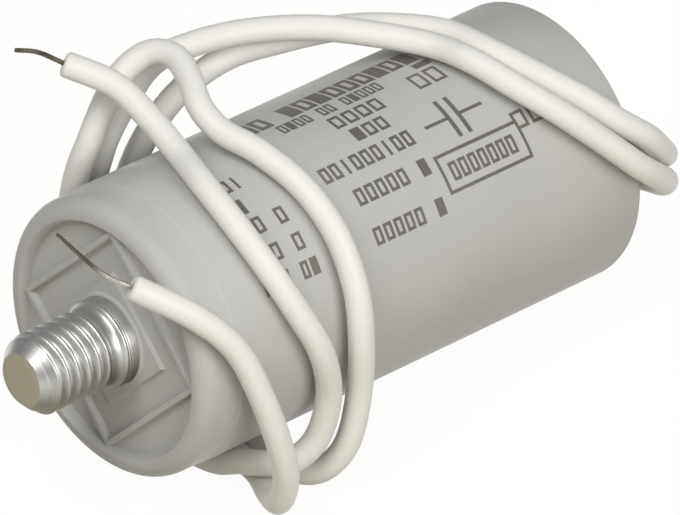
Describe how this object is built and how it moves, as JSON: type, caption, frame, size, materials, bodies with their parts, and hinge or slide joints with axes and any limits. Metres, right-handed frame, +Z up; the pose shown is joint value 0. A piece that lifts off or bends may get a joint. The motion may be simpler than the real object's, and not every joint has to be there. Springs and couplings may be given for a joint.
{
  "type": "motor run capacitor",
  "caption": "Round plastic-cased motor run capacitor with a threaded mounting stud in its base and two insulated leads from its other end.",
  "frame": {"origin": "on the can's axis, in the plane of the base rim that seats on a panel", "axes": "-X along the mounting stud, away from the can; +X towards the open end with the leads; +Z up as the can lies on its side"},
  "size_m": [0.0748, 0.0354, 0.0403],
  "materials": {
    "case_plastic": "satin light grey",
    "stud_metal": "turned",
    "core_plastic": "natural",
    "metallised_film": "metallised plastic film",
    "blank_film": "clear film",
    "sprayed_metal": "sprayed zinc",
    "solder": "soft solder",
    "conductor": "tinned copper strands",
    "lead_insulation": "ivory insulation",
    "resin": "cast resin"
  },
  "bodies": {
    "root": {"case": "case_plastic", "mounting_stud": "stud_metal", "winding_core": "core_plastic", "film_winding": "metallised_film", "winding_wrap": "blank_film", "end_spray_base": "sprayed_metal", "end_spray_top": "sprayed_metal", "solder_base": "solder", "solder_top": "solder", "conductor_base": "conductor", "conductor_top": "conductor", "lead_long_potted": "lead_insulation", "lead_short_potted": "lead_insulation", "potting_resin": "resin", "lead_long": "lead_insulation", "lead_short": "lead_insulation", "strands_long": "conductor", "strands_short": "conductor"}
  },
  "joints": []
}
